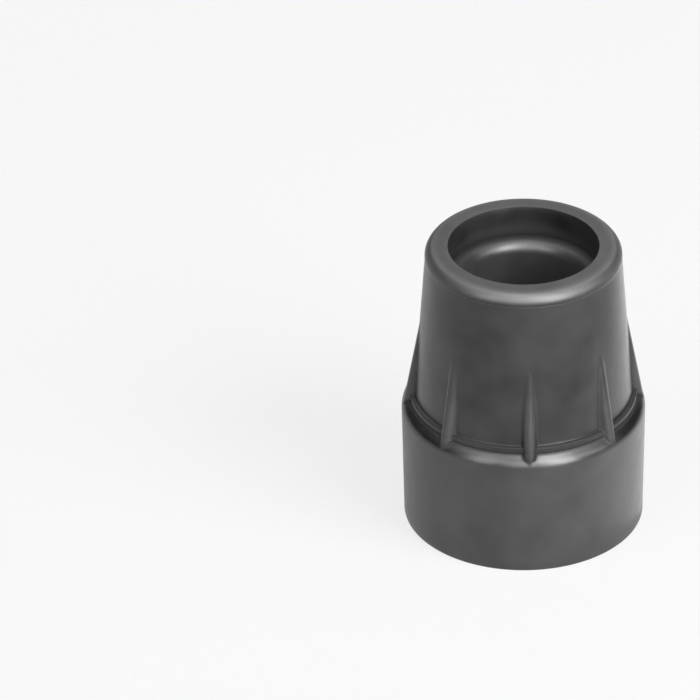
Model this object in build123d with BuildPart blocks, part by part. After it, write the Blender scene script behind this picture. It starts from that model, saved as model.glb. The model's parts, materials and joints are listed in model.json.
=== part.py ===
from build123d import *
import os
from math import cos, radians, sin, tan

os.makedirs("parts", exist_ok=True)

# A rubber cane tip, moulded as one solid piece. The tread stands on the ground at Z = 0,
# and the shaft is pushed in from the top, along Z. Lengths are in millimetres.

# Shaft and socket: a tight bore below a wider mouth
shaft_diameter = 19.05
grip_squeeze = 0.35
sole_thickness = 15.0
mouth_depth = 5.3
mouth_bevel = 0.3
step_width = 2.65
step_fall = 0.2
step_bevel = 1.2
step_root_bevel = 0.5

# Rim: a rolled bead that stands a little proud of the sleeve
rim_wall = 3.65
rim_round = 1.8
rim_lip = 0.12
rim_drop = 0.65

# Sleeve: a cone that widens towards the collar
overall_height = 49.0
sleeve_flare = 1.75

# Foot ring: a low band where the sleeve meets the shoulder
ring_width = 0.65
ring_height = 1.05
ring_bevel = 0.45

# Collar and its sloped shoulder
collar_height = 20.0
shoulder_width = 1.45
shoulder_rise = 1.35
shoulder_bevel = 0.75
collar_taper = 0.3
base_bevel = 0.35

# Ribs that grow out of the sleeve and die into the shoulder
rib_count = 8
rib_top_gap = 12.0
rib_foot_inset = 0.2
rib_crest_round = 1.0
rib_flank_angle = 15.0
rib_depth = 3.0
rib_foot_sink = 0.6
rib_run_on = 2.0

# Tread: a dished sole with a raised ring and a raised disc between two grooves
land_width = 0.6
dish_width = 4.75
dish_depth = 1.6
tread_face_depth = 2.1
groove_depth = 1.1
groove_draft = 0.2
outer_groove_width = 2.4
tread_ring_width = 2.85
inner_groove_width = 2.25
gate_radius = 0.7
gate_depth = 0.5

cut_overrun = 2.0

# Radii, from the bore outwards
bore_radius = (shaft_diameter - grip_squeeze) / 2
mouth_radius = bore_radius + step_width
rim_radius = mouth_radius + rim_wall
rim_centre_radius = rim_radius - rim_round
neck_radius = rim_radius - rim_lip
sleeve_foot_radius = rim_radius + sleeve_flare
ring_radius = sleeve_foot_radius + ring_width
collar_radius = ring_radius + shoulder_width
base_radius = collar_radius - collar_taper

# Heights, from the ground up
shoulder_height = collar_height + shoulder_rise
ring_top_height = shoulder_height + ring_height
rib_top_height = overall_height - rib_top_gap
rim_centre_height = overall_height - rim_round
neck_height = rim_centre_height - rim_drop
step_top_height = overall_height - mouth_depth
step_foot_height = step_top_height - step_fall

# Tread radii, from the edge inwards
land_radius = base_radius - base_bevel - land_width
dish_radius = land_radius - dish_width
tread_ring_radius = dish_radius - outer_groove_width
inner_groove_radius = tread_ring_radius - tread_ring_width
disc_radius = inner_groove_radius - inner_groove_width
groove_floor_height = tread_face_depth + groove_depth

# Rib crest: a straight line from the shoulder's edge up to where it meets the sleeve
sleeve_slope = (sleeve_foot_radius - neck_radius) / (neck_height - ring_top_height)
rib_top_radius = sleeve_foot_radius - sleeve_slope * (rib_top_height - ring_top_height)
crest_foot = Vector(collar_radius - rib_foot_inset, 0, collar_height)
crest_top = Vector(rib_top_radius, 0, rib_top_height)
crest_rise = (crest_top - crest_foot).normalized()
crest_start = crest_foot - crest_rise * rib_foot_sink
rib_length = (crest_top - crest_foot).length + rib_foot_sink + rib_run_on

# Rib section: a round crest and two flanks that spread towards the root
flank = radians(rib_flank_angle)
crest_half = rib_crest_round * cos(flank)
crest_drop = rib_crest_round * (1 - sin(flank))
root_half = crest_half + (rib_depth - crest_drop) * tan(flank)


def corner(sketch, point):
    """Return the corner of a sketch that lies at the given point."""
    return sketch.vertices().sort_by_distance(point)[0]


with BuildPart() as rib:
    with BuildSketch(Plane(crest_start, x_dir=(0, -1, 0), z_dir=crest_rise)):
        with BuildLine():
            ThreePointArc((-crest_half, -crest_drop), (0, 0), (crest_half, -crest_drop))
            Polyline(
                (crest_half, -crest_drop),
                (root_half, -rib_depth),
                (-root_half, -rib_depth),
                (-crest_half, -crest_drop),
            )
        make_face()
    extrude(amount=rib_length)

with BuildPart() as cane_tip:
    # Outer form
    with BuildSketch(Plane.XZ) as outer:
        with BuildLine():
            Polyline(
                (rim_centre_radius, overall_height),
                (0, overall_height),
                (0, 0),
                (base_radius, 0),
                (collar_radius, collar_height),
                (ring_radius, shoulder_height),
                (ring_radius, ring_top_height),
                (sleeve_foot_radius, ring_top_height),
                (neck_radius, neck_height),
                (rim_radius, rim_centre_height),
            )
            RadiusArc((rim_radius, rim_centre_height), (rim_centre_radius, overall_height), -rim_round)
        make_face()
        chamfer(corner(outer, (base_radius, 0)), base_bevel)
        chamfer(corner(outer, (collar_radius, collar_height)), shoulder_bevel)
        chamfer(corner(outer, (ring_radius, ring_top_height)), ring_bevel)
    revolve(axis=Axis.Z)

    # Ribs
    with PolarLocations(0, rib_count):
        add(rib.part)

    # Socket for the shaft
    with BuildSketch(Plane.XZ) as socket:
        with BuildLine():
            Polyline(
                (0, overall_height + cut_overrun),
                (mouth_radius + mouth_bevel + cut_overrun, overall_height + cut_overrun),
                (mouth_radius, overall_height - mouth_bevel),
                (mouth_radius, step_top_height),
                (bore_radius, step_foot_height),
                (bore_radius, sole_thickness),
                (0, sole_thickness),
                close=True,
            )
        make_face()
        chamfer(corner(socket, (mouth_radius, step_top_height)), step_root_bevel)
        chamfer(corner(socket, (bore_radius, step_foot_height)), step_bevel)
    revolve(axis=Axis.Z, mode=Mode.SUBTRACT)

    # Dished and grooved tread
    with BuildSketch(Plane.XZ) as tread:
        with BuildLine():
            Polyline(
                (0, -cut_overrun),
                (land_radius, -cut_overrun),
                (land_radius, 0),
                (dish_radius, dish_depth),
                (dish_radius - groove_draft, groove_floor_height),
                (tread_ring_radius + groove_draft, groove_floor_height),
                (tread_ring_radius, tread_face_depth),
                (inner_groove_radius, tread_face_depth),
                (inner_groove_radius - groove_draft, groove_floor_height),
                (disc_radius + groove_draft, groove_floor_height),
                (disc_radius, tread_face_depth),
                (gate_radius, tread_face_depth),
                (0, tread_face_depth + gate_depth),
                close=True,
            )
        make_face()
    revolve(axis=Axis.Z, mode=Mode.SUBTRACT)

cane_tip.part.label = "cane_tip"
export_step(cane_tip.part, "parts/cane_tip.step")
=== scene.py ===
"""Rubber cane tip: the moulded body, its rubber and a plain studio around it.

Laid out as an add-on and run as a script. Lengths are in metres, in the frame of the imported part:
the tread stands on the floor at Z = 0 and the shaft's axis is Z.
"""

import json
import math
from types import SimpleNamespace

import bpy
from bpy.props import FloatProperty, FloatVectorProperty, IntProperty, PointerProperty
from mathutils import Matrix, Vector


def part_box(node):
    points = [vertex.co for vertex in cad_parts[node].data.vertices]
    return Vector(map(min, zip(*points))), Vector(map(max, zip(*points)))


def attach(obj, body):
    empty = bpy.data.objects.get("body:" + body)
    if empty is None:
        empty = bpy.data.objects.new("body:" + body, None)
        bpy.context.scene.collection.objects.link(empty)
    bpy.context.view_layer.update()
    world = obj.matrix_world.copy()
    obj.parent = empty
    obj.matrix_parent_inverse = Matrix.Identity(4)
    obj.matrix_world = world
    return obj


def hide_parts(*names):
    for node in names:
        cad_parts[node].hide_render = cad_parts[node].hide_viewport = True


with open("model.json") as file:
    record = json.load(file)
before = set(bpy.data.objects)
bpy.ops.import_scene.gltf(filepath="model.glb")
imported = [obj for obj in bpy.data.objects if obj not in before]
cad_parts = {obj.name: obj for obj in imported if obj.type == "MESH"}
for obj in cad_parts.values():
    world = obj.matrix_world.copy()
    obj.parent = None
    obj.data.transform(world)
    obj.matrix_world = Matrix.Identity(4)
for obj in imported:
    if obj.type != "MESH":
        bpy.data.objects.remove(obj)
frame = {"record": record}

bl_info = {
    "name": "Rubber cane tip",
    "version": (1, 0, 0),
    "blender": (4, 5, 0),
    "location": "View3D > Sidebar > Cane Tip",
    "description": "Builds a moulded rubber cane tip and a plain studio for it",
    "category": "Add Mesh",
}

MM = 0.001
PART_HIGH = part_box("cane_tip")[1]
BORE = next(mount for mount in frame["record"]["mounts"] if mount["name"] == "shaft_bore")

# Corners of the section that get a line of painted shade, and the inputs that place each of them
SHADED_CORNERS = ("Ring Edge", "Ring Foot", "Step Root")
CORNER_INPUTS = ("Radius", "Height", "Shade")

# Steps to a rounded corner, and the gap at which points are joined
FEWEST_STEPS, MOST_STEPS = 3.0, 12.0
WELD_GAP = 0.001 * MM

# Middle part of a noise texture's range, which holds nearly all its values
NOISE_LOW, NOISE_HIGH = 0.3, 0.7


def linear(hex_colour):
    """Turn an sRGB hex colour into linear red, green and blue."""
    channels = [int(hex_colour[i : i + 2], 16) / 255 for i in (1, 3, 5)]
    return [c / 12.92 if c <= 0.04045 else ((c + 0.055) / 1.055) ** 2.4 for c in channels]


def put(tree, kind, feeds=(), **settings):
    """Add a node with its settings, and feed its inputs, by place or by name, with values or links."""
    made = tree.nodes.new(kind)
    for name, value in settings.items():
        setattr(made, name, value)
    for key, feed in feeds.items() if isinstance(feeds, dict) else enumerate(feeds):
        if isinstance(feed, bpy.types.Node):
            feed = next(socket for socket in feed.outputs if socket.enabled)
        if isinstance(feed, bpy.types.NodeSocket):
            tree.links.new(feed, made.inputs[key])
        else:
            made.inputs[key].default_value = feed
    return made


class TipSizes(bpy.types.PropertyGroup):
    """Sizes of the moulded body."""

    height: FloatProperty(
        name="Height", description="From the ground to the rim", default=PART_HIGH.z, unit="LENGTH"
    )
    bore_radius: FloatProperty(
        name="Bore radius",
        description="Tight part of the socket, which grips the shaft",
        default=BORE["dims"]["r_mm"] * MM,
        unit="LENGTH",
    )
    sole: FloatProperty(
        name="Sole", description="From the ground to the socket's floor", default=15.0 * MM, unit="LENGTH"
    )
    step_width: FloatProperty(
        name="Step width",
        description="How much wider the mouth is, each side",
        default=2.65 * MM,
        unit="LENGTH",
    )
    step_fall: FloatProperty(
        name="Step fall",
        description="How far the step slopes down to the bore",
        default=0.2 * MM,
        unit="LENGTH",
    )
    lip_round: FloatProperty(
        name="Lip round",
        description="Round where the step turns into the bore",
        default=2.0 * MM,
        unit="LENGTH",
    )
    mouth_depth: FloatProperty(
        name="Mouth depth", description="From the rim to the step", default=5.3 * MM, unit="LENGTH"
    )
    rim_wall: FloatProperty(
        name="Rim wall", description="Thickness of the wall at the rim", default=3.65 * MM, unit="LENGTH"
    )
    rim_round: FloatProperty(
        name="Rim round", description="Round of the rim's outer edge", default=1.8 * MM, unit="LENGTH"
    )
    rim_drop: FloatProperty(
        name="Rim drop",
        description="How far the bead reaches below its widest line",
        default=0.35 * MM,
        unit="LENGTH",
    )
    sleeve_flare: FloatProperty(
        name="Sleeve flare",
        description="How much wider the sleeve's foot is than the rim",
        default=1.75 * MM,
        unit="LENGTH",
    )
    ring_width: FloatProperty(
        name="Ring width", description="How far the foot ring stands out", default=0.65 * MM, unit="LENGTH"
    )
    ring_height: FloatProperty(
        name="Ring height", description="Height of the foot ring", default=1.05 * MM, unit="LENGTH"
    )
    ring_round: FloatProperty(
        name="Ring round", description="Round of the foot ring's edge", default=0.14 * MM, unit="LENGTH"
    )
    sleeve_root: FloatProperty(
        name="Sleeve root",
        description="Round where the sleeve runs into the ring",
        default=0.05 * MM,
        unit="LENGTH",
    )
    collar_height: FloatProperty(
        name="Collar height",
        description="From the ground to the shoulder's edge",
        default=20.0 * MM,
        unit="LENGTH",
    )
    shoulder_width: FloatProperty(
        name="Shoulder width", description="Width of the sloped shoulder", default=1.45 * MM, unit="LENGTH"
    )
    shoulder_rise: FloatProperty(
        name="Shoulder rise", description="Height of the sloped shoulder", default=1.35 * MM, unit="LENGTH"
    )
    shoulder_round: FloatProperty(
        name="Shoulder round",
        description="Round between shoulder and collar",
        default=1.9 * MM,
        unit="LENGTH",
    )
    collar_taper: FloatProperty(
        name="Collar taper",
        description="How much the collar narrows to the ground",
        default=0.3 * MM,
        unit="LENGTH",
    )
    edge_round: FloatProperty(
        name="Edge round", description="Round of the small moulded edges", default=0.3 * MM, unit="LENGTH"
    )
    rib_count: IntProperty(name="Ribs", description="Ribs round the sleeve", default=8, min=1)
    rib_top_gap: FloatProperty(
        name="Rib top gap",
        description="From the rim down to where the ribs begin",
        default=13.6 * MM,
        unit="LENGTH",
    )
    rib_foot_inset: FloatProperty(
        name="Rib foot inset",
        description="From the collar's edge in to the rib's foot",
        default=0.2 * MM,
        unit="LENGTH",
    )
    rib_crest_round: FloatProperty(
        name="Rib crest round", description="Round of the rib's crest", default=1.0 * MM, unit="LENGTH"
    )
    rib_flank: FloatProperty(
        name="Rib flank",
        description="Slope of the rib's sides",
        default=math.radians(15.0),
        subtype="ANGLE",
    )
    rib_root_round: FloatProperty(
        name="Rib root round",
        description="Soft joint between rib and sleeve",
        default=0.15 * MM,
        unit="LENGTH",
    )
    land_width: FloatProperty(
        name="Land width", description="Flat edge that the tip stands on", default=0.6 * MM, unit="LENGTH"
    )
    dish_width: FloatProperty(
        name="Dish width", description="Width of the hollowed band", default=4.75 * MM, unit="LENGTH"
    )
    dish_depth: FloatProperty(
        name="Dish depth", description="Depth of the hollowed band", default=1.6 * MM, unit="LENGTH"
    )
    tread_depth: FloatProperty(
        name="Tread depth",
        description="How far the ring and disc lie above the ground",
        default=2.1 * MM,
        unit="LENGTH",
    )
    groove_depth: FloatProperty(
        name="Groove depth", description="Depth of the two grooves", default=1.1 * MM, unit="LENGTH"
    )
    groove_draft: FloatProperty(
        name="Groove draft",
        description="How much a groove narrows to its floor",
        default=0.2 * MM,
        unit="LENGTH",
    )
    outer_groove: FloatProperty(
        name="Outer groove", description="Width of the outer groove", default=2.4 * MM, unit="LENGTH"
    )
    tread_ring: FloatProperty(
        name="Tread ring", description="Width of the raised ring", default=2.85 * MM, unit="LENGTH"
    )
    inner_groove: FloatProperty(
        name="Inner groove", description="Width of the inner groove", default=2.25 * MM, unit="LENGTH"
    )
    gate_radius: FloatProperty(
        name="Gate radius", description="Pit that the mould's inlet leaves", default=0.7 * MM, unit="LENGTH"
    )
    gate_depth: FloatProperty(
        name="Gate depth", description="Depth of that pit", default=0.5 * MM, unit="LENGTH"
    )
    unevenness: FloatProperty(
        name="Unevenness", description="How far the moulded skin wanders", default=0.04 * MM, unit="LENGTH"
    )


class TipFinish(bpy.types.PropertyGroup):
    """Colours, gloss and film of the rubber, and the painted light and shade that they carry."""

    rubber: FloatVectorProperty(
        name="Rubber", description="Black of the rubber", default=linear("#161616"), subtype="COLOR"
    )
    # Grey of the film, which also paints light and shade by how thick it lies
    bloom_and_painted_light: FloatVectorProperty(
        name="Bloom", description="Grey film of wax on the skin", default=linear("#4c4c4c"), subtype="COLOR"
    )
    # Colour of the painted shade in corners, at rib roots and along the ring's edge
    painted_shade: FloatVectorProperty(
        name="Crease", description="Black of the dull creases", default=linear("#141414"), subtype="COLOR"
    )
    roughness: FloatProperty(
        name="Roughness",
        description="Satin of the moulded skin",
        default=0.34,
        min=0.0,
        max=1.0,
        subtype="FACTOR",
    )
    rim_scuff: FloatProperty(
        name="Rim scuff",
        description="Roughness added on the rim's flat top",
        default=0.5,
        min=0.0,
        max=1.0,
        subtype="FACTOR",
    )
    # Film on the collar and tread, and painted light: its lighter tone stands in for the floor's reflection
    collar_film_and_painted_light: FloatProperty(
        name="Collar film",
        description="How much film lies on the collar and tread",
        default=0.58,
        min=0.0,
        max=1.0,
        subtype="FACTOR",
    )
    sleeve_film: FloatProperty(
        name="Sleeve film",
        description="How much film lies on the sleeve",
        default=0.2,
        min=0.0,
        max=1.0,
        subtype="FACTOR",
    )
    # Strength of the painted highlight along the ribs' crests
    rib_painted_highlight: FloatProperty(
        name="Rib film",
        description="How much film lies on the ribs",
        default=0.4,
        min=0.0,
        max=1.0,
        subtype="FACTOR",
    )
    # Film on the rim's bead, and painted light from the side lights
    rim_film_and_painted_light: FloatProperty(
        name="Rim film",
        description="How much film lies on the rim's bead",
        default=0.85,
        min=0.0,
        max=1.0,
        subtype="FACTOR",
    )
    # Film in the mouth, and painted fill light in its shade
    mouth_film_and_painted_light: FloatProperty(
        name="Mouth film",
        description="How much film lies in the mouth",
        default=0.25,
        min=0.0,
        max=1.0,
        subtype="FACTOR",
    )
    # Film in the bore, and painted fill light in its shade
    bore_film_and_painted_light: FloatProperty(
        name="Bore film",
        description="How much film lies in the bore",
        default=0.8,
        min=0.0,
        max=1.0,
        subtype="FACTOR",
    )


class StageSettings(bpy.types.PropertyGroup):
    """Floor, light and camera."""

    floor: FloatVectorProperty(
        name="Floor", description="Colour of the floor", default=linear("#f0f0f0"), subtype="COLOR"
    )
    floor_white: FloatProperty(
        name="Floor white",
        description="Plain white in what the camera and the gloss see of the floor",
        default=0.75,
        min=0.0,
        max=1.0,
        subtype="FACTOR",
    )
    light: FloatProperty(
        name="Light", description="Strength of the soft boxes that light the tip", default=1.0, min=0.0
    )
    gloss: FloatProperty(
        name="Gloss",
        description="Strength of the soft boxes that show in the gloss alone",
        default=1.0,
        min=0.0,
    )
    sky: FloatProperty(
        name="Overhead light", description="Strength of the light from above", default=0.8, min=0.0
    )
    backdrop: FloatProperty(
        name="Backdrop", description="Strength of the pale wall behind", default=0.5, min=0.0
    )
    lens: FloatProperty(
        name="Lens", description="Focal length on a sensor 36 mm wide", default=400.0, min=1.0
    )


def body_lines(sizes):
    """Work out the radii and heights of the body's main lines from its sizes."""
    mouth = sizes.bore_radius + sizes.step_width
    rim = mouth + sizes.rim_wall
    rim_flat = rim - sizes.rim_round
    sleeve_foot = rim + sizes.sleeve_flare
    ring = sleeve_foot + sizes.ring_width
    shoulder_top = sizes.collar_height + sizes.shoulder_rise
    rim_centre = sizes.height - sizes.rim_round
    return SimpleNamespace(
        mouth=mouth,
        rim=rim,
        rim_flat=rim_flat,
        neck=rim_flat + math.sqrt(sizes.rim_round**2 - sizes.rim_drop**2),
        sleeve_foot=sleeve_foot,
        ring=ring,
        collar=ring + sizes.shoulder_width,
        shoulder_top=shoulder_top,
        ring_top=shoulder_top + sizes.ring_height,
        rib_top=sizes.height - sizes.rib_top_gap,
        step_top=sizes.height - sizes.mouth_depth,
        neck_top=rim_centre - sizes.rim_drop,
        rim_centre=rim_centre,
    )


def section_outline(sizes, lines):
    """List the corners of the half section as radius, height and corner round.

    It runs from the middle of the tread out to the collar, up over the rim and down into the socket.
    """
    bead_turn = math.asin(sizes.rim_drop / sizes.rim_round)
    bead_foot = sizes.height - sizes.rim_round * (1 + math.tan(bead_turn / 2))
    bead_round = 0.8 * sizes.rim_round

    edge = sizes.edge_round
    small_edge = edge / 2
    mouth_edge = edge / 5
    step_root = edge / 8
    floor_edge = 4 * edge

    base = lines.collar - sizes.collar_taper
    land = base - edge - sizes.land_width
    dish = land - sizes.dish_width
    tread_ring = dish - sizes.outer_groove
    tread_inner = tread_ring - sizes.tread_ring
    disc = tread_inner - sizes.inner_groove
    groove_floor = sizes.tread_depth + sizes.groove_depth
    draft = sizes.groove_draft
    return [
        (0.0, sizes.tread_depth + sizes.gate_depth, 0.0),
        (sizes.gate_radius, sizes.tread_depth, small_edge),
        (disc, sizes.tread_depth, small_edge),
        (disc + draft, groove_floor, edge),
        (tread_inner - draft, groove_floor, edge),
        (tread_inner, sizes.tread_depth, small_edge),
        (tread_ring, sizes.tread_depth, small_edge),
        (tread_ring + draft, groove_floor, edge),
        (dish - draft, groove_floor, edge),
        (dish, sizes.dish_depth, small_edge),
        (land, 0.0, small_edge),
        (base, 0.0, edge),
        (lines.collar, sizes.collar_height, sizes.shoulder_round),
        (lines.ring, lines.shoulder_top, small_edge),
        (lines.ring, lines.ring_top, sizes.ring_round),
        (lines.sleeve_foot, lines.ring_top, sizes.sleeve_root),
        (lines.neck, lines.neck_top, edge),
        (lines.rim, bead_foot, bead_round),
        (lines.rim, sizes.height, sizes.rim_round),
        (lines.mouth, sizes.height, mouth_edge),
        (lines.mouth, lines.step_top, step_root),
        (sizes.bore_radius, lines.step_top - sizes.step_fall, sizes.lip_round),
        (sizes.bore_radius, sizes.sole, floor_edge),
        (0.0, sizes.sole, 0.0),
    ]


def section_mesh(sizes, lines):
    """Make the half section as a chain of edges that carries each corner's round."""
    corners = section_outline(sizes, lines)
    chain = bpy.data.meshes.new("tip_section")
    points = [(radius, 0.0, height) for radius, height, _ in corners]
    edges = [(i, i + 1) for i in range(len(points) - 1)]
    chain.from_pydata(points, edges, [])
    rounds = chain.attributes.new("corner_round", "FLOAT", "POINT")
    rounds.data.foreach_set("value", [corner_round for _, _, corner_round in corners])
    return chain


def moulded_tip_tree():
    """Build the node tree that turns the section round its axis and raises the ribs from the sleeve."""
    tree = bpy.data.node_groups.new("Moulded tip", "GeometryNodeTree")
    for name, kind in (
        ("Section", "NodeSocketGeometry"),
        ("Columns", "NodeSocketInt"),
        ("Row Pitch", "NodeSocketFloat"),
        ("Rib Row Pitch", "NodeSocketFloat"),
        ("Corner Pitch", "NodeSocketFloat"),
        ("Inner Radius", "NodeSocketFloat"),
        ("Ribs", "NodeSocketInt"),
        ("Rib Foot Radius", "NodeSocketFloat"),
        ("Rib Foot Height", "NodeSocketFloat"),
        ("Rib Slope", "NodeSocketFloat"),
        ("Rib Top Height", "NodeSocketFloat"),
        ("Crest Round", "NodeSocketFloat"),
        ("Flank", "NodeSocketFloat"),
        ("Root Round", "NodeSocketFloat"),
        ("Root Shade Width", "NodeSocketFloat"),
        ("Side Shade", "NodeSocketFloat"),
        *((f"{corner} {what}", "NodeSocketFloat") for corner in SHADED_CORNERS for what in CORNER_INPUTS),
        ("Bunching", "NodeSocketFloat"),
        ("Unevenness", "NodeSocketFloat"),
        ("Unevenness Size", "NodeSocketFloat"),
        ("Seed", "NodeSocketInt"),
        ("Rubber", "NodeSocketMaterial"),
    ):
        tree.interface.new_socket(name, in_out="INPUT", socket_type=kind)
    tree.interface.new_socket("Tip", in_out="OUTPUT", socket_type="NodeSocketGeometry")
    given = tree.nodes.new("NodeGroupInput").outputs

    # The section: corners rounded, then rows added along its long straights
    chain = put(tree, "GeometryNodeMeshToCurve", {"Mesh": given["Section"]})
    corner_round = put(tree, "GeometryNodeInputNamedAttribute", {"Name": "corner_round"}, data_type="FLOAT")
    steps = put(tree, "ShaderNodeMath", (corner_round, given["Corner Pitch"]), operation="DIVIDE")
    steps = put(tree, "ShaderNodeClamp", {"Value": steps, "Min": FEWEST_STEPS, "Max": MOST_STEPS})
    rounded = put(
        tree,
        "GeometryNodeFilletCurve",
        {"Curve": chain, "Count": steps, "Radius": corner_round},
        mode="POLY",
    )
    along = put(tree, "GeometryNodeSplineParameter").outputs["Length"]
    index = put(tree, "GeometryNodeInputIndex")
    following = put(tree, "ShaderNodeMath", (index, 1.0), operation="ADD")
    ahead = put(tree, "GeometryNodeFieldAtIndex", {"Index": following, "Value": along}, data_type="FLOAT")
    stretch = put(tree, "ShaderNodeMath", (ahead, along), operation="SUBTRACT")
    place = put(tree, "GeometryNodeInputPosition")
    spot = put(tree, "ShaderNodeSeparateXYZ", (place,))
    outside = put(
        tree, "ShaderNodeMath", (spot.outputs["X"], given["Inner Radius"]), operation="GREATER_THAN"
    )
    raised = put(
        tree, "ShaderNodeMath", (spot.outputs["Z"], given["Rib Foot Height"]), operation="GREATER_THAN"
    )
    ribbed = put(tree, "ShaderNodeMath", (outside, raised), operation="MULTIPLY")
    pitch = put(
        tree, "ShaderNodeMix", {"Factor": ribbed, "A": given["Row Pitch"], "B": given["Rib Row Pitch"]}
    )
    cuts = put(tree, "ShaderNodeMath", (stretch, pitch), operation="DIVIDE")
    cuts = put(tree, "ShaderNodeMath", (cuts, 0.0), operation="MAXIMUM")
    section = put(tree, "GeometryNodeSubdivideCurve", {"Curve": rounded, "Cuts": cuts})
    rows = put(tree, "GeometryNodeAttributeDomainSize", {"Geometry": section}, component="CURVE")
    rows = rows.outputs["Point Count"]

    # A grid with one column for each angle and one row for each point of the section
    edges = put(tree, "ShaderNodeMath", (given["Columns"], 1.0), operation="ADD")
    grid = put(tree, "GeometryNodeMeshGrid", {"Vertices X": edges, "Vertices Y": rows})
    row = put(tree, "ShaderNodeMath", (index, rows), operation="MODULO")
    column = put(tree, "ShaderNodeMath", (index, rows), operation="DIVIDE")
    column = put(tree, "ShaderNodeMath", (column,), operation="FLOOR")
    point = put(
        tree,
        "GeometryNodeSampleIndex",
        {"Geometry": section, "Value": place, "Index": row},
        data_type="FLOAT_VECTOR",
    )
    point = put(tree, "ShaderNodeSeparateXYZ", (point,))
    radius, height = point.outputs["X"], point.outputs["Z"]

    # Angles, drawn closer together at each rib
    share = put(tree, "ShaderNodeMath", (column, given["Columns"]), operation="DIVIDE")
    even = put(tree, "ShaderNodeMath", (share, math.tau), operation="MULTIPLY")
    wave = put(tree, "ShaderNodeMath", (even, given["Ribs"]), operation="MULTIPLY")
    wave = put(tree, "ShaderNodeMath", (wave,), operation="SINE")
    bunch = put(tree, "ShaderNodeMath", (given["Bunching"], given["Ribs"]), operation="DIVIDE")
    bunch = put(tree, "ShaderNodeMath", (wave, bunch), operation="MULTIPLY")
    angle = put(tree, "ShaderNodeMath", (even, bunch), operation="SUBTRACT")
    cosine = put(tree, "ShaderNodeMath", (angle,), operation="COSINE")
    sine = put(tree, "ShaderNodeMath", (angle,), operation="SINE")

    # Distance sideways from the nearest rib
    half_sector = put(tree, "ShaderNodeMath", (math.pi, given["Ribs"]), operation="DIVIDE")
    other_half = put(tree, "ShaderNodeMath", (half_sector, -1.0), operation="MULTIPLY")
    swing = put(tree, "ShaderNodeMath", (angle, half_sector, other_half), operation="WRAP")
    swing = put(tree, "ShaderNodeMath", (swing,), operation="SINE")
    sideways = put(tree, "ShaderNodeMath", (radius, swing), operation="MULTIPLY")
    sideways = put(tree, "ShaderNodeMath", (sideways,), operation="ABSOLUTE")

    # Crest line: straight above the foot, and sunk into the collar below it
    rise = put(tree, "ShaderNodeMath", (height, given["Rib Foot Height"]), operation="SUBTRACT")
    above = put(tree, "ShaderNodeMath", (rise, 0.0), operation="MAXIMUM")
    below = put(tree, "ShaderNodeMath", (rise, 0.0), operation="MINIMUM")
    lean = put(tree, "ShaderNodeMath", (above, given["Rib Slope"]), operation="MULTIPLY")
    crest = put(tree, "ShaderNodeMath", (given["Rib Foot Radius"], lean), operation="SUBTRACT")
    crest = put(tree, "ShaderNodeMath", (crest, below), operation="ADD")

    # Rib section: a round crest that runs into two sloped flanks
    flank_cosine = put(tree, "ShaderNodeMath", (given["Flank"],), operation="COSINE")
    crest_half = put(tree, "ShaderNodeMath", (given["Crest Round"], flank_cosine), operation="MULTIPLY")
    on_crest = put(tree, "ShaderNodeMath", (sideways, crest_half), operation="MINIMUM")
    on_flank = put(tree, "ShaderNodeMath", (sideways, crest_half), operation="SUBTRACT")
    on_flank = put(tree, "ShaderNodeMath", (on_flank, 0.0), operation="MAXIMUM")
    crest_square = put(tree, "ShaderNodeMath", (given["Crest Round"], 2.0), operation="POWER")
    side_square = put(tree, "ShaderNodeMath", (on_crest, 2.0), operation="POWER")
    crest_level = put(tree, "ShaderNodeMath", (crest_square, side_square), operation="SUBTRACT")
    crest_level = put(tree, "ShaderNodeMath", (crest_level,), operation="SQRT")
    crest_fall = put(tree, "ShaderNodeMath", (given["Crest Round"], crest_level), operation="SUBTRACT")
    flank_slope = put(tree, "ShaderNodeMath", (given["Flank"],), operation="TANGENT")
    flank_fall = put(tree, "ShaderNodeMath", (on_flank, flank_slope), operation="DIVIDE")
    rib = put(tree, "ShaderNodeMath", (crest, crest_fall), operation="SUBTRACT")
    rib = put(tree, "ShaderNodeMath", (rib, flank_fall), operation="SUBTRACT")

    # Sleeve and ribs joined by a soft root, on the outside alone
    joined = put(tree, "ShaderNodeMath", (radius, rib, given["Root Round"]), operation="SMOOTH_MAX")
    gain = put(tree, "ShaderNodeMath", (joined, radius), operation="SUBTRACT")
    under_top = put(tree, "ShaderNodeMath", (height, given["Rib Top Height"]), operation="LESS_THAN")
    gain = put(tree, "ShaderNodeMath", (gain, under_top), operation="MULTIPLY")
    skin = put(tree, "ShaderNodeMath", (radius, given["Inner Radius"]), operation="GREATER_THAN")

    # Half the rib's width where it leaves the body, and the distance from that root line
    stand = put(tree, "ShaderNodeMath", (crest, radius), operation="SUBTRACT")
    flank_sine = put(tree, "ShaderNodeMath", (given["Flank"],), operation="SINE")
    crest_drop = put(tree, "ShaderNodeMath", (given["Crest Round"], flank_sine), operation="MULTIPLY")
    crest_drop = put(tree, "ShaderNodeMath", (given["Crest Round"], crest_drop), operation="SUBTRACT")
    in_crest = put(tree, "ShaderNodeClamp", {"Value": stand, "Min": 0.0, "Max": crest_drop})
    to_centre = put(tree, "ShaderNodeMath", (given["Crest Round"], in_crest), operation="SUBTRACT")
    centre_square = put(tree, "ShaderNodeMath", (to_centre, 2.0), operation="POWER")
    root = put(tree, "ShaderNodeMath", (crest_square, centre_square), operation="SUBTRACT")
    root = put(tree, "ShaderNodeMath", (root,), operation="SQRT")
    in_flank = put(tree, "ShaderNodeMath", (stand, crest_drop), operation="SUBTRACT")
    in_flank = put(tree, "ShaderNodeMath", (in_flank, 0.0), operation="MAXIMUM")
    root = put(tree, "ShaderNodeMath", (in_flank, flank_slope, root), operation="MULTIPLY_ADD")
    apart = put(tree, "ShaderNodeMath", (sideways, root), operation="SUBTRACT")
    apart = put(tree, "ShaderNodeMath", (apart,), operation="ABSOLUTE")
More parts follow.
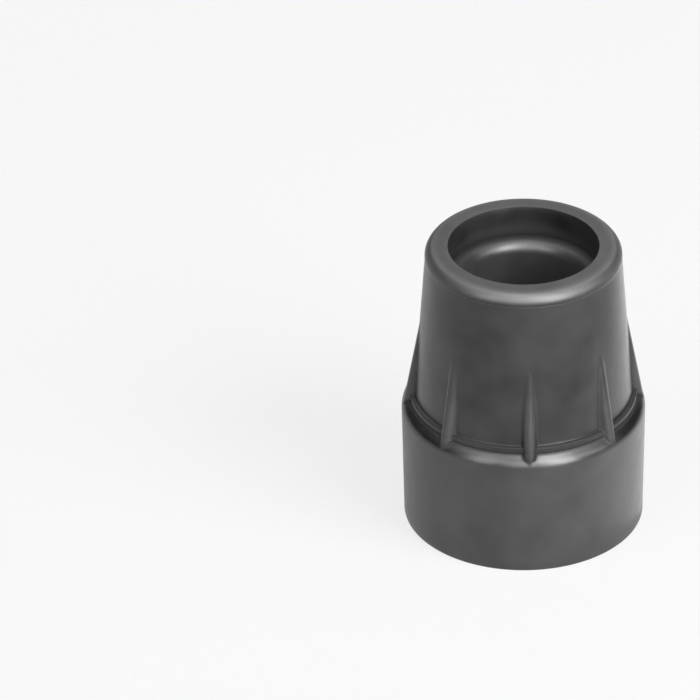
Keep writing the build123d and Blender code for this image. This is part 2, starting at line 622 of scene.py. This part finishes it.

    # Painted shade along the rib roots: weaker beside the sleeve, full and twice as wide on the shoulder
    proud = put(tree, "ShaderNodeMapRange", {"Value": stand, "From Max": given["Crest Round"]})
    proud = put(tree, "ShaderNodeMath", (proud, under_top), operation="MULTIPLY")
    proud = put(tree, "ShaderNodeMath", (proud, skin), operation="MULTIPLY")
    showing = put(tree, "ShaderNodeMapRange", {"Value": stand, "From Max": given["Root Shade Width"]})
    low = put(tree, "ShaderNodeMath", (height, given["Ring Foot Height"]), operation="LESS_THAN")
    low = put(tree, "ShaderNodeMath", (low, skin), operation="MULTIPLY")
    low = put(tree, "ShaderNodeMath", (low, showing), operation="MULTIPLY")
    side = put(tree, "ShaderNodeMath", (proud, given["Side Shade"]), operation="MULTIPLY")
    sharp = put(tree, "ShaderNodeMath", (side, low), operation="MAXIMUM")
    spread = put(tree, "ShaderNodeMath", (low, 1.0), operation="ADD")
    spread = put(tree, "ShaderNodeMath", (spread, given["Root Shade Width"]), operation="MULTIPLY")
    painted_shade = put(
        tree,
        "ShaderNodeMapRange",
        {"Value": apart, "From Max": spread, "To Min": 1.0, "To Max": 0.0},
    )
    painted_shade = put(tree, "ShaderNodeMath", (painted_shade, sharp), operation="MULTIPLY")

    # Painted shade lines round the ring's edge and foot and at the step's root, where no rib covers them
    covered = put(tree, "ShaderNodeMath", (rib, radius), operation="GREATER_THAN")
    covered = put(tree, "ShaderNodeMath", (covered, skin), operation="MULTIPLY")
    bare = put(tree, "ShaderNodeMath", (1.0, covered), operation="SUBTRACT")
    section_spot = put(tree, "ShaderNodeCombineXYZ", (radius, height, 0.0))
    for corner in SHADED_CORNERS:
        corner_radius, corner_height, shade = (given[f"{corner} {what}"] for what in CORNER_INPUTS)
        corner_spot = put(tree, "ShaderNodeCombineXYZ", (corner_radius, corner_height, 0.0))
        away = put(tree, "ShaderNodeVectorMath", (section_spot, corner_spot), operation="DISTANCE")
        corner_shade = put(
            tree,
            "ShaderNodeMapRange",
            {"Value": away.outputs["Value"], "From Max": shade, "To Min": 1.0, "To Max": 0.0},
        )
        corner_shade = put(tree, "ShaderNodeMath", (corner_shade, bare), operation="MULTIPLY")
        painted_shade = put(tree, "ShaderNodeMath", (painted_shade, corner_shade), operation="MAXIMUM")

    # Painted highlight: the ribs get lighter as far as they stand out
    painted_crest_highlight = put(tree, "ShaderNodeMath", (covered, proud), operation="MULTIPLY")

    # A moulded skin that wanders a little
    across = put(tree, "ShaderNodeMath", (radius, cosine), operation="MULTIPLY")
    deep = put(tree, "ShaderNodeMath", (radius, sine), operation="MULTIPLY")
    plain = put(tree, "ShaderNodeCombineXYZ", (across, deep, height))
    scale = put(tree, "ShaderNodeMath", (1.0, given["Unevenness Size"]), operation="DIVIDE")
    noise = put(
        tree,
        "ShaderNodeTexNoise",
        {"Vector": plain, "W": given["Seed"], "Scale": scale, "Detail": 1.0},
        noise_dimensions="4D",
    )
    wander = put(tree, "ShaderNodeMath", (noise, 0.5), operation="SUBTRACT")
    gain = put(tree, "ShaderNodeMath", (wander, given["Unevenness"], gain), operation="MULTIPLY_ADD")
    full = put(tree, "ShaderNodeMath", (gain, skin, radius), operation="MULTIPLY_ADD")
    across = put(tree, "ShaderNodeMath", (full, cosine), operation="MULTIPLY")
    deep = put(tree, "ShaderNodeMath", (full, sine), operation="MULTIPLY")
    turned = put(tree, "ShaderNodeCombineXYZ", (across, deep, height))

    # Seam and poles closed, shaded smooth
    body = grid.outputs["Mesh"]
    # Keep the painted shade and the ribs' painted highlight for the rubber's colour
    for name, value in (("painted_shade", painted_shade), ("painted_crest_highlight", painted_crest_highlight)):
        body = put(
            tree,
            "GeometryNodeStoreNamedAttribute",
            {"Geometry": body, "Name": name, "Value": value},
            data_type="FLOAT",
            domain="POINT",
        )
    body = put(tree, "GeometryNodeSetPosition", {"Geometry": body, "Position": turned})
    body = put(tree, "GeometryNodeMergeByDistance", {"Geometry": body, "Distance": WELD_GAP})
    body = put(tree, "GeometryNodeSetShadeSmooth", {"Geometry": body})
    body = put(tree, "GeometryNodeRealizeInstances", {"Geometry": body})
    body = put(tree, "GeometryNodeSetMaterial", {"Geometry": body, "Material": given["Rubber"]})
    put(tree, "NodeGroupOutput", {"Tip": body})
    return tree


def rubber_material(finish, sizes, lines):
    """Vulcanised black rubber from a satin steel mould.

    Carbon black leaves a neutral near-black. The mould's fine satin spreads each light into a soft glow. Wax
    blooms out as a cloudy grey film that dulls the gloss. Its strength on each place also paints light and
    shade: the lighter collar, rim bead and bore stand in for reflections and fill light, the lighter rib
    crests are a painted highlight, and the bare black shoulder is painted shade, as are the dark corners.
    The shoulder is the glossiest place. The rim's flat top is scuffed matt.
    """
    rubber = bpy.data.materials.new("moulded_black_rubber")
    rubber.use_nodes = True
    tree = rubber.node_tree
    tree.nodes.clear()
    coords = put(tree, "ShaderNodeTexCoord").outputs["Object"]
    cloud_size, satin_size, wave_size, grain_size = 9 * MM, 3 * MM, 5 * MM, 0.35 * MM
    wave_height, grain_height = 0.2 * MM, 0.03 * MM

    # Places that fade in along the height or the radius: start, full, and the amount at each
    spot = put(tree, "ShaderNodeSeparateXYZ", (coords,))
    height = spot.outputs["Z"]
    flat = put(tree, "ShaderNodeCombineXYZ", (spot.outputs["X"], spot.outputs["Y"], 0.0))
    radius = put(tree, "ShaderNodeVectorMath", (flat,), operation="LENGTH").outputs["Value"]
    collar_edge, shoulder_top, step_top = sizes.collar_height, lines.shoulder_top, lines.step_top
    faded = {}
    # The collar's and sleeve's films stop short of the shoulder, which stays bare black as painted shade;
    # the bead's and socket's films paint light
    for place, along, start, full, least, most in (
        ("collar", height, collar_edge + 0.2 * MM, collar_edge - 0.8 * MM, 0.0, finish.collar_film_and_painted_light),
        ("sleeve", height, shoulder_top - 0.05 * MM, shoulder_top + 0.25 * MM, 0.0, finish.sleeve_film),
        ("socket", height, step_top - 0.5 * MM, step_top - 2.2 * MM, finish.mouth_film_and_painted_light, finish.bore_film_and_painted_light),
        ("bead", height, lines.rim_centre - 0.1 * MM, lines.rim_centre + 0.7 * MM, 0.0, finish.rim_film_and_painted_light),
        ("bead_edge", radius, lines.rim_flat - 0.55 * MM, lines.rim_flat + 0.65 * MM, 0.0, 1.0),
        ("scuff", height, sizes.height - 0.25 * MM, sizes.height - 0.05 * MM, 0.0, finish.rim_scuff),
    ):
        faded[place] = put(
            tree,
            "ShaderNodeMapRange",
            {"Value": along, "From Min": start, "From Max": full, "To Min": least, "To Max": most},
        )

    # Bloom and painted light: a grey film of its own strength on each place, thinner and thicker in soft
    # clouds. The lighter collar, rim bead and bore are painted reflections and fill light, and the bare
    # shoulder between collar and sleeve is painted shade
    thinner, thicker = -0.18, 0.2
    bead = put(tree, "ShaderNodeMath", (faded["bead"], faded["bead_edge"]), operation="MULTIPLY")
    inside = put(tree, "ShaderNodeMath", (radius, lines.mouth + 0.2 * MM), operation="LESS_THAN")
    socket = put(tree, "ShaderNodeMath", (faded["socket"], inside), operation="MULTIPLY")
    # Painted highlight on the ribs' crests
    painted_crest_highlight = put(tree, "ShaderNodeAttribute", attribute_name="painted_crest_highlight").outputs["Fac"]
    ribs = put(tree, "ShaderNodeMath", (painted_crest_highlight, finish.rib_painted_highlight), operation="MULTIPLY")
    film_and_painted_light = faded["collar"]
    for place in (faded["sleeve"], bead, socket, ribs):
        film_and_painted_light = put(tree, "ShaderNodeMath", (film_and_painted_light, place), operation="MAXIMUM")
    clouds = put(
        tree,
        "ShaderNodeTexNoise",
        {"Vector": coords, "Scale": 1 / cloud_size, "Detail": 2.0, "Roughness": 0.6},
    )
    clouds = put(
        tree,
        "ShaderNodeMapRange",
        {
            "Value": clouds,
            "From Min": NOISE_LOW,
            "From Max": NOISE_HIGH,
            "To Min": thinner,
            "To Max": thicker,
        },
    )
    film_and_painted_light = put(tree, "ShaderNodeMath", (film_and_painted_light, clouds), operation="ADD", use_clamp=True)
    colour = put(
        tree,
        "ShaderNodeMix",
        {"Factor": film_and_painted_light, "A": (*finish.rubber, 1.0), "B": (*finish.bloom_and_painted_light, 1.0)},
        data_type="RGBA",
    )

    # Satin that varies a little, is glossier where the film is thin, and is dulled by thick film and scuffs
    smoother, rougher, film_thin, film_thick = -0.015, 0.025, -0.045, 0.12
    satin = put(tree, "ShaderNodeTexNoise", {"Vector": coords, "Scale": 1 / satin_size, "Detail": 2.0})
    roughness = put(
        tree,
        "ShaderNodeMapRange",
        {
            "Value": satin,
            "From Min": NOISE_LOW,
            "From Max": NOISE_HIGH,
            "To Min": finish.roughness + smoother,
            "To Max": finish.roughness + rougher,
        },
    )
    dulled = put(tree, "ShaderNodeMapRange", {"Value": film_and_painted_light, "To Min": film_thin, "To Max": film_thick})
    for added in (dulled, faded["scuff"]):
        roughness = put(tree, "ShaderNodeMath", (roughness, added), operation="ADD")

    # Painted shade: corners, rib roots and the ring's edge get a dark colour and a dull, weaker gloss
    crease_roughness, full_shine, crease_shine = 0.85, 0.5, 0.15
    painted_shade = put(tree, "ShaderNodeAttribute", attribute_name="painted_shade").outputs["Fac"]
    colour = put(
        tree,
        "ShaderNodeMix",
        {"Factor": painted_shade, "A": colour.outputs["Result"], "B": (*finish.painted_shade, 1.0)},
        data_type="RGBA",
    )
    roughness = put(tree, "ShaderNodeMix", {"Factor": painted_shade, "A": roughness, "B": crease_roughness})
    shine = put(tree, "ShaderNodeMapRange", {"Value": painted_shade, "To Min": full_shine, "To Max": crease_shine})

    # Shallow waves of the skin, and a satin grain drawn far coarser than the real one so that it shows
    waves = put(tree, "ShaderNodeTexNoise", {"Vector": coords, "Scale": 1 / wave_size, "Detail": 2.0})
    grain = put(tree, "ShaderNodeTexNoise", {"Vector": coords, "Scale": 1 / grain_size, "Detail": 2.0})
    skin = put(tree, "ShaderNodeBump", {"Height": waves, "Strength": 0.25, "Distance": wave_height})
    skin = put(
        tree,
        "ShaderNodeBump",
        {"Height": grain, "Strength": 0.15, "Distance": grain_height, "Normal": skin},
    )

    surface = put(
        tree,
        "ShaderNodeBsdfPrincipled",
        {
            "Base Color": colour.outputs["Result"],
            "Roughness": roughness.outputs["Result"],
            "IOR": 1.5,
            "Specular IOR Level": shine,
            "Normal": skin,
        },
    )
    put(tree, "ShaderNodeOutputMaterial", {"Surface": surface})
    return rubber


class CANETIP_OT_moulded_tip(bpy.types.Operator):
    """Mould the ribbed rubber body"""

    bl_idname = "canetip.moulded_tip"
    bl_label = "Moulded Tip"

    def execute(self, context):
        sizes = context.scene.cane_tip_sizes
        lines = body_lines(sizes)
        piece = bpy.data.objects.new("moulded_tip", section_mesh(sizes, lines))
        context.scene.collection.objects.link(piece)

        # The ribs' crests run straight from near the collar's edge to the sleeve
        sleeve_slope = (lines.sleeve_foot - lines.neck) / (lines.neck_top - lines.ring_top)
        rib_top_radius = lines.sleeve_foot - sleeve_slope * (lines.rib_top - lines.ring_top)
        rib_foot_radius = lines.collar - sizes.rib_foot_inset
        rib_slope = (rib_foot_radius - rib_top_radius) / (lines.rib_top - sizes.collar_height)

        tree = moulded_tip_tree()
        modifier = piece.modifiers.new("Moulded tip", "NODES")
        modifier.node_group = tree
        values = {
            "Columns": 40 * sizes.rib_count,
            "Row Pitch": 1.5 * MM,
            "Rib Row Pitch": 0.6 * MM,
            "Corner Pitch": 0.2 * MM,
            "Inner Radius": (lines.mouth + lines.rim_flat) / 2,
            "Ribs": sizes.rib_count,
            "Rib Foot Radius": rib_foot_radius,
            "Rib Foot Height": sizes.collar_height,
            "Rib Slope": rib_slope,
            "Rib Top Height": lines.rib_top,
            "Crest Round": sizes.rib_crest_round,
            "Flank": sizes.rib_flank,
            "Root Round": sizes.rib_root_round,
            # Width and strength of the painted shade at the rib roots and the section's corners
            "Root Shade Width": 0.3 * MM,
            "Side Shade": 0.5,
            "Ring Edge Radius": lines.ring,
            "Ring Edge Height": lines.ring_top,
            "Ring Edge Shade": 0.3 * MM,
            "Ring Foot Radius": lines.ring,
            "Ring Foot Height": lines.shoulder_top,
            "Ring Foot Shade": 0.3 * MM,
            "Step Root Radius": lines.mouth,
            "Step Root Height": lines.step_top,
            "Step Root Shade": 2.4 * MM,
            "Bunching": 0.75,
            "Unevenness": sizes.unevenness,
            "Unevenness Size": 12 * MM,
            "Seed": 4,
            "Rubber": rubber_material(context.scene.cane_tip_finish, sizes, lines),
        }
        for socket in tree.interface.items_tree:
            if socket.name in values:
                modifier[socket.identifier] = values[socket.name]

        graph = context.evaluated_depsgraph_get()
        moulded = bpy.data.meshes.new_from_object(piece.evaluated_get(graph))
        piece.modifiers.clear()
        piece.data = moulded
        if not moulded.polygons:
            raise RuntimeError("the moulded tip has no faces")
        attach(piece, "root")
        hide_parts("cane_tip")
        return {"FINISHED"}


def soft_box(name, place, away, width, height, radiance, lights_colour):
    """Add a soft box that faces against the direction away.

    Its radiance is in watts for each square metre and steradian. It lights the diffuse colour of
    what it faces, or else shows in the gloss alone.
    """
    lamp = bpy.data.lights.new(name, "AREA")
    lamp.shape = "RECTANGLE"
    lamp.size, lamp.size_y = width, height
    lamp.energy = math.pi * width * height * radiance
    box = bpy.data.objects.new(name, lamp)
    box.location = place
    box.rotation_euler = away.to_track_quat("Z", "Y").to_euler()
    box.visible_camera = False
    box.visible_diffuse = lights_colour
    box.visible_glossy = not lights_colour
    bpy.context.scene.collection.objects.link(box)


class CANETIP_OT_stage(bpy.types.Operator):
    """Set the tip on a pale floor in soft light, with the camera above and in front"""

    bl_idname = "canetip.stage"
    bl_label = "Stage"

    def execute(self, context):
        scene = context.scene
        settings = scene.cane_tip_stage
        scene.view_settings.view_transform = "Standard"

        # Floor: matt white paper, lifted towards plain white for the camera and in reflections
        paper = bpy.data.materials.new("matt_white_paper")
        paper.use_nodes = True
        tree = paper.node_tree
        tree.nodes.clear()
        matt = put(tree, "ShaderNodeBsdfDiffuse", {"Color": (*settings.floor, 1.0)})
        white = put(tree, "ShaderNodeEmission", {"Strength": 1.0})
        ray = put(tree, "ShaderNodeLightPath").outputs
        seen = ray["Is Camera Ray"]
        for kind in ("Is Glossy Ray", "Is Transmission Ray"):
            seen = put(tree, "ShaderNodeMath", (seen, ray[kind]), operation="MAXIMUM")
        lift = put(tree, "ShaderNodeMath", (seen, settings.floor_white), operation="MULTIPLY")
        sheet = put(tree, "ShaderNodeMixShader", (lift, matt, white))
        put(tree, "ShaderNodeOutputMaterial", {"Surface": sheet})
        reach, drop = 3.0, 0.01 * MM
        floor_mesh = bpy.data.meshes.new("floor")
        floor_mesh.from_pydata(
            [(-reach, -reach, 0.0), (reach, -reach, 0.0), (reach, reach, 0.0), (-reach, reach, 0.0)],
            [],
            [(0, 1, 2, 3)],
        )
        floor_mesh.materials.append(paper)
        floor = bpy.data.objects.new("floor", floor_mesh)
        floor.location.z = -drop
        scene.collection.objects.link(floor)

        # Soft boxes, 1 m from the tip: azimuth, elevation, width, height and radiance. Two light the tip
        # at a plain level; the others are cards that show in its gloss alone.
        target = Vector((0.0, 0.0, 0.5 * PART_HIGH.z))
        for name, azimuth, elevation, width, height, radiance, lights_colour in (
            ("key", 50.0, 34.0, 0.7, 0.7, 6.0 * settings.light, True),
            ("fill", -50.0, 40.0, 0.6, 0.6, 1.5 * settings.light, True),
            ("card_right", 31.0, 31.0, 0.42, 1.2, 19.5 * settings.gloss, False),
            ("card_front", -4.0, 27.0, 0.5, 0.95, 6.5 * settings.gloss, False),
            ("card_top", 5.0, 88.0, 0.5, 0.95, 8.0 * settings.gloss, False),
            ("card_left", -42.0, 30.0, 0.38, 1.05, 7.5 * settings.gloss, False),
            ("card_side", 66.0, 28.0, 0.4, 0.6, 5.0 * settings.gloss, False),
            ("card_far_right", 116.0, 62.0, 1.2, 0.25, 3.0 * settings.gloss, False),
            ("card_far_left", -116.0, 62.0, 1.2, 0.25, 3.0 * settings.gloss, False),
        ):
            turn, lift_angle = math.radians(azimuth), math.radians(elevation)
            away = Vector(
                (
                    math.sin(turn) * math.cos(lift_angle),
                    -math.cos(turn) * math.cos(lift_angle),
                    math.sin(lift_angle),
                )
            )
            soft_box(name, target + away, away, width, height, radiance, lights_colour)

        # A card on the floor at the right, hidden from the camera, brightens that side's reflection
        beside, down = Vector((0.05, 0.03, 0.0)), Vector((0.0, 0.0, -1.0))
        soft_box("card_floor", beside, down, 0.06, 0.12, 0.8 * settings.gloss, False)

        # Overhead light that fades to dark at the horizon, and a pale wall behind the tip
        world = bpy.data.worlds.new("studio")
        world.use_nodes = True
        tree = world.node_tree
        tree.nodes.clear()
        view = put(tree, "ShaderNodeTexCoord").outputs["Generated"]
        up = put(tree, "ShaderNodeSeparateXYZ", (view,))
        fade_from, fade_to, dark = 0.35, 0.95, 0.03
        overhead = put(
            tree,
            "ShaderNodeMapRange",
            {
                "Value": up.outputs["Z"],
                "From Min": fade_from,
                "From Max": fade_to,
                "To Min": dark,
                "To Max": settings.sky,
            },
        )
        behind, wall_edge, wall_middle = (0.0, 0.85, 0.53), 0.75, 0.92
        facing = put(tree, "ShaderNodeVectorMath", (view, behind), operation="DOT_PRODUCT")
        backdrop = put(
            tree,
            "ShaderNodeMapRange",
            {
                "Value": facing.outputs["Value"],
                "From Min": wall_edge,
                "From Max": wall_middle,
                "To Max": settings.backdrop,
            },
        )
        glow = put(tree, "ShaderNodeMath", (overhead, backdrop), operation="MAXIMUM")
        sky = put(tree, "ShaderNodeBackground", {"Strength": glow})
        put(tree, "ShaderNodeOutputWorld", {"Surface": sky})
        scene.world = world

        # Camera: long lens, 32 degrees above the floor and slightly rolled, with the tip right of the middle
        lens = bpy.data.cameras.new("camera")
        lens.lens = settings.lens
        lens.sensor_width = 36.0
        lens.clip_start, lens.clip_end = 0.01, 20.0
        camera = bpy.data.objects.new("camera", lens)
        camera.location = Vector((-55.09, -1051.12, 682.77)) * MM
        aim = Vector((-27.52, 4.19, 27.77)) * MM
        look = (aim - camera.location).to_track_quat("-Z", "Y")
        roll = Matrix.Rotation(math.radians(-0.793), 3, "Z")
        camera.rotation_euler = (look.to_matrix() @ roll).to_euler()
        scene.collection.objects.link(camera)
        scene.camera = camera
        return {"FINISHED"}


class CANETIP_PT_panel(bpy.types.Panel):
    """Sizes, finish and stage of the cane tip"""

    bl_idname = "CANETIP_PT_panel"
    bl_label = "Cane Tip"
    bl_space_type = "VIEW_3D"
    bl_region_type = "UI"
    bl_category = "Cane Tip"

    def draw(self, context):
        for group in (
            context.scene.cane_tip_sizes,
            context.scene.cane_tip_finish,
            context.scene.cane_tip_stage,
        ):
            column = self.layout.column()
            for name in group.__annotations__:
                column.prop(group, name)
        for operator in (CANETIP_OT_moulded_tip, CANETIP_OT_stage):
            self.layout.operator(operator.bl_idname)


CLASSES = (
    TipSizes,
    TipFinish,
    StageSettings,
    CANETIP_OT_moulded_tip,
    CANETIP_OT_stage,
    CANETIP_PT_panel,
)


def register():
    """Add the classes and the settings that they keep on the scene."""
    for cls in CLASSES:
        bpy.utils.register_class(cls)
    bpy.types.Scene.cane_tip_sizes = PointerProperty(type=TipSizes)
    bpy.types.Scene.cane_tip_finish = PointerProperty(type=TipFinish)
    bpy.types.Scene.cane_tip_stage = PointerProperty(type=StageSettings)


def unregister():
    """Take the settings and classes away again."""
    del bpy.types.Scene.cane_tip_stage
    del bpy.types.Scene.cane_tip_finish
    del bpy.types.Scene.cane_tip_sizes
    for cls in reversed(CLASSES):
        bpy.utils.unregister_class(cls)


def main():
    """Build the tip and its stage."""
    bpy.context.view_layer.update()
    register()
    bpy.ops.canetip.moulded_tip()
    bpy.ops.canetip.stage()


if __name__ == "__main__":
    main()
